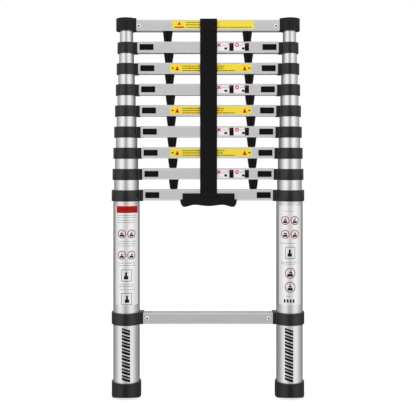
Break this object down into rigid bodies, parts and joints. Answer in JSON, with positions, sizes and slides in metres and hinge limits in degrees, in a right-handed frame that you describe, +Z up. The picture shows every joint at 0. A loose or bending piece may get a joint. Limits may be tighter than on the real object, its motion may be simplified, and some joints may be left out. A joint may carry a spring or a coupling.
{
  "type": "telescoping ladder",
  "caption": "Telescoping aluminium ladder, shown closed: nested tube stiles, collars that lock each rung with sliding latches, spacers, carry handle and webbing strap.",
  "frame": {"origin": "on the ground, midway between the stiles, in the plane of the tube axes", "axes": "+Z up along the tubes, +X to the right stile as seen from the front, -Y out of the front face that carries the latches"},
  "size_m": [0.4702, 0.0718, 0.922],
  "materials": {
    "tube_aluminium": "clear anodised, drawn, satin",
    "rung_aluminium": "extruded, matt anodised",
    "black_plastic": "moulded glass-filled nylon, fine texture",
    "latch_plastic": "moulded, ribbed thumb pad",
    "foot_rubber": "moulded rubber, matt",
    "handle_plastic": "moulded, fine texture",
    "strap_webbing": "woven webbing"
  },
  "bodies": {
    "base": {"left_tube_9": "tube_aluminium", "right_tube_9": "tube_aluminium", "left_foot": "foot_rubber", "right_foot": "foot_rubber", "collars_9": "black_plastic", "rung_9": "rung_aluminium", "rung_10": "rung_aluminium", "base_clamps": "black_plastic", "carry_handle": "handle_plastic"},
    "stage_8": {"left_tube_8": "tube_aluminium", "right_tube_8": "tube_aluminium", "rung_8": "rung_aluminium", "collars_8": "black_plastic"},
    "stage_7": {"left_tube_7": "tube_aluminium", "right_tube_7": "tube_aluminium", "rung_7": "rung_aluminium", "collars_7": "black_plastic"},
    "stage_6": {"left_tube_6": "tube_aluminium", "right_tube_6": "tube_aluminium", "rung_6": "rung_aluminium", "collars_6": "black_plastic"},
    "stage_5": {"left_tube_5": "tube_aluminium", "right_tube_5": "tube_aluminium", "rung_5": "rung_aluminium", "collars_5": "black_plastic"},
    "stage_4": {"left_tube_4": "tube_aluminium", "right_tube_4": "tube_aluminium", "rung_4": "rung_aluminium", "collars_4": "black_plastic"},
    "stage_3": {"left_tube_3": "tube_aluminium", "right_tube_3": "tube_aluminium", "rung_3": "rung_aluminium", "collars_3": "black_plastic"},
    "stage_2": {"left_tube_2": "tube_aluminium", "right_tube_2": "tube_aluminium", "rung_2": "rung_aluminium", "collars_2": "black_plastic"},
    "stage_1": {"left_tube_1": "tube_aluminium", "right_tube_1": "tube_aluminium", "rung_1": "rung_aluminium", "top_caps": "black_plastic", "strap_loop": "strap_webbing"},
    "left_latch_9_body": {"left_latch_9": "latch_plastic"},
    "right_latch_9_body": {"right_latch_9": "latch_plastic"},
    "left_latch_8_body": {"left_latch_8": "latch_plastic"},
    "right_latch_8_body": {"right_latch_8": "latch_plastic"},
    "left_latch_7_body": {"left_latch_7": "latch_plastic"},
    "right_latch_7_body": {"right_latch_7": "latch_plastic"},
    "left_latch_6_body": {"left_latch_6": "latch_plastic"},
    "right_latch_6_body": {"right_latch_6": "latch_plastic"},
    "left_latch_5_body": {"left_latch_5": "latch_plastic"},
    "right_latch_5_body": {"right_latch_5": "latch_plastic"},
    "left_latch_4_body": {"left_latch_4": "latch_plastic"},
    "right_latch_4_body": {"right_latch_4": "latch_plastic"},
    "left_latch_3_body": {"left_latch_3": "latch_plastic"},
    "right_latch_3_body": {"right_latch_3": "latch_plastic"},
    "left_latch_2_body": {"left_latch_2": "latch_plastic"},
    "right_latch_2_body": {"right_latch_2": "latch_plastic"},
    "strap_body": {"strap_tail": "strap_webbing"}
  },
  "joints": [
    {"name": "stage_8_slide", "type": "slide", "parent": "base", "child": "stage_8", "axis": [0, 0, 1], "range_m": [0, 0.2487]},
    {"name": "stage_7_slide", "type": "slide", "parent": "stage_8", "child": "stage_7", "axis": [0, 0, 1], "range_m": [0, 0.2487]},
    {"name": "stage_6_slide", "type": "slide", "parent": "stage_7", "child": "stage_6", "axis": [0, 0, 1], "range_m": [0, 0.2487]},
    {"name": "stage_5_slide", "type": "slide", "parent": "stage_6", "child": "stage_5", "axis": [0, 0, 1], "range_m": [0, 0.2487]},
    {"name": "stage_4_slide", "type": "slide", "parent": "stage_5", "child": "stage_4", "axis": [0, 0, 1], "range_m": [0, 0.2487]},
    {"name": "stage_3_slide", "type": "slide", "parent": "stage_4", "child": "stage_3", "axis": [0, 0, 1], "range_m": [0, 0.2487]},
    {"name": "stage_2_slide", "type": "slide", "parent": "stage_3", "child": "stage_2", "axis": [0, 0, 1], "range_m": [0, 0.2487]},
    {"name": "stage_1_slide", "type": "slide", "parent": "stage_2", "child": "stage_1", "axis": [0, 0, 1], "range_m": [0, 0.2465]},
    {"name": "left_latch_9_slide", "type": "slide", "parent": "base", "child": "left_latch_9_body", "axis": [1, 0, 0], "range_m": [-0.0021, 0.004], "stiffness_N_per_m": 400},
    {"name": "right_latch_9_slide", "type": "slide", "parent": "base", "child": "right_latch_9_body", "axis": [-1, 0, 0], "range_m": [-0.0021, 0.004], "stiffness_N_per_m": 400},
    {"name": "left_latch_8_slide", "type": "slide", "parent": "stage_8", "child": "left_latch_8_body", "axis": [1, 0, 0], "range_m": [-0.0021, 0.004], "stiffness_N_per_m": 400},
    {"name": "right_latch_8_slide", "type": "slide", "parent": "stage_8", "child": "right_latch_8_body", "axis": [-1, 0, 0], "range_m": [-0.0021, 0.004], "stiffness_N_per_m": 400},
    {"name": "left_latch_7_slide", "type": "slide", "parent": "stage_7", "child": "left_latch_7_body", "axis": [1, 0, 0], "range_m": [-0.0021, 0.004], "stiffness_N_per_m": 400},
    {"name": "right_latch_7_slide", "type": "slide", "parent": "stage_7", "child": "right_latch_7_body", "axis": [-1, 0, 0], "range_m": [-0.0021, 0.004], "stiffness_N_per_m": 400},
    {"name": "left_latch_6_slide", "type": "slide", "parent": "stage_6", "child": "left_latch_6_body", "axis": [1, 0, 0], "range_m": [-0.0021, 0.004], "stiffness_N_per_m": 400},
    {"name": "right_latch_6_slide", "type": "slide", "parent": "stage_6", "child": "right_latch_6_body", "axis": [-1, 0, 0], "range_m": [-0.0021, 0.004], "stiffness_N_per_m": 400},
    {"name": "left_latch_5_slide", "type": "slide", "parent": "stage_5", "child": "left_latch_5_body", "axis": [1, 0, 0], "range_m": [-0.0021, 0.004], "stiffness_N_per_m": 400},
    {"name": "right_latch_5_slide", "type": "slide", "parent": "stage_5", "child": "right_latch_5_body", "axis": [-1, 0, 0], "range_m": [-0.0021, 0.004], "stiffness_N_per_m": 400},
    {"name": "left_latch_4_slide", "type": "slide", "parent": "stage_4", "child": "left_latch_4_body", "axis": [1, 0, 0], "range_m": [-0.0021, 0.004], "stiffness_N_per_m": 400},
    {"name": "right_latch_4_slide", "type": "slide", "parent": "stage_4", "child": "right_latch_4_body", "axis": [-1, 0, 0], "range_m": [-0.0021, 0.004], "stiffness_N_per_m": 400},
    {"name": "left_latch_3_slide", "type": "slide", "parent": "stage_3", "child": "left_latch_3_body", "axis": [1, 0, 0], "range_m": [-0.0021, 0.004], "stiffness_N_per_m": 400},
    {"name": "right_latch_3_slide", "type": "slide", "parent": "stage_3", "child": "right_latch_3_body", "axis": [-1, 0, 0], "range_m": [-0.0021, 0.004], "stiffness_N_per_m": 400},
    {"name": "left_latch_2_slide", "type": "slide", "parent": "stage_2", "child": "left_latch_2_body", "axis": [1, 0, 0], "range_m": [-0.0021, 0.004], "stiffness_N_per_m": 400},
    {"name": "right_latch_2_slide", "type": "slide", "parent": "stage_2", "child": "right_latch_2_body", "axis": [-1, 0, 0], "range_m": [-0.0021, 0.004], "stiffness_N_per_m": 400},
    {"name": "strap_hinge", "type": "hinge", "parent": "stage_1", "child": "strap_body", "pos_m": [0, -0.02, 0.9181], "axis": [-1, 0, 0], "range_deg": [0, 150]}
  ]
}
